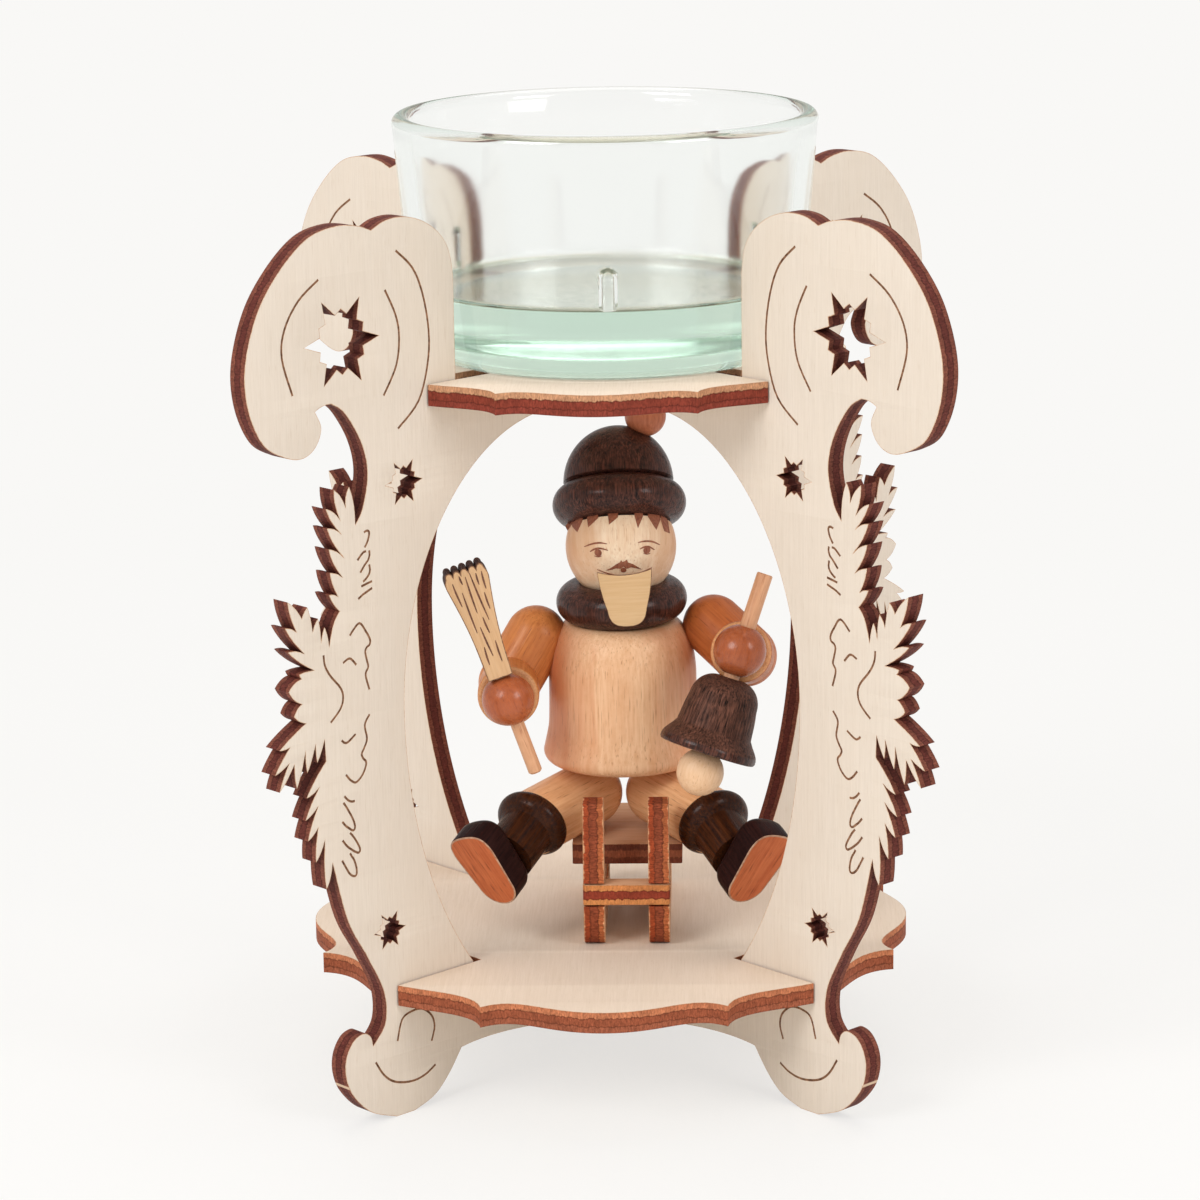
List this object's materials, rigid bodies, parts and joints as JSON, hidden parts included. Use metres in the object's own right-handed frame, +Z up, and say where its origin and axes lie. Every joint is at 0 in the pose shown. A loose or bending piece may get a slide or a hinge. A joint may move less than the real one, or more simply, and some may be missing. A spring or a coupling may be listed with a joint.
{
  "type": "tealight holder with seated figure",
  "caption": "Fretwork plywood lantern with a loose glass tealight cup on top and a small turned wooden figure with broom and bell on a sled inside.",
  "frame": {"origin": "on the floor, below the middle of the lantern", "axes": "+Z up, the figure looks along -Y, +X to the viewer's right when facing the front"},
  "size_m": [0.0954, 0.0954, 0.1376],
  "materials": {
    "birch_ply": "raw sanded birch plywood with laser-burnt dark brown edges",
    "sled_ply": "birch plywood with orange-brown laser-burnt edges and visible layers",
    "beech": "clear satin lacquer over beech",
    "maple": "clear satin lacquer over pale wood",
    "sleeve_wood": "orange-brown stain under satin lacquer",
    "glove_wood": "reddish brown stain under gloss lacquer",
    "stained_wood": "dark brown stain under satin lacquer, grain showing",
    "veneer": "raw pale wood sheet with burnt edges",
    "clear_glass": "clear pressed glass, faintly green where thick"
  },
  "bodies": {
    "holder": {"panel_front_left": "birch_ply", "panel_front_right": "birch_ply", "panel_back_left": "birch_ply", "panel_back_right": "birch_ply", "base_plate": "birch_ply", "top_plate": "birch_ply", "sled_runner_left": "sled_ply", "sled_runner_right": "sled_ply", "sled_seat": "sled_ply", "sled_front_bar": "sled_ply", "sled_rear_bar": "sled_ply", "torso": "beech", "neck_dowel": "beech", "scarf": "stained_wood", "head": "maple", "beard": "veneer", "hat": "stained_wood", "hat_pompom": "maple", "broom_upper_arm": "sleeve_wood", "broom_forearm": "sleeve_wood", "broom_hand": "glove_wood", "broom_stick": "beech", "broom_head": "veneer", "bell_upper_arm": "sleeve_wood", "bell_forearm": "sleeve_wood", "bell_hand": "glove_wood", "bell_handle": "beech", "bell": "stained_wood", "bell_clapper": "maple", "left_thigh": "beech", "left_boot": "stained_wood", "left_foot": "stained_wood", "right_thigh": "beech", "right_boot": "stained_wood", "right_foot": "stained_wood"},
    "glass": {"glass_cup": "clear_glass"}
  },
  "joints": [
    {"name": "glass_lift", "type": "slide", "parent": "holder", "child": "glass", "axis": [0, 0, 1], "range_m": [0, 0.06]}
  ]
}
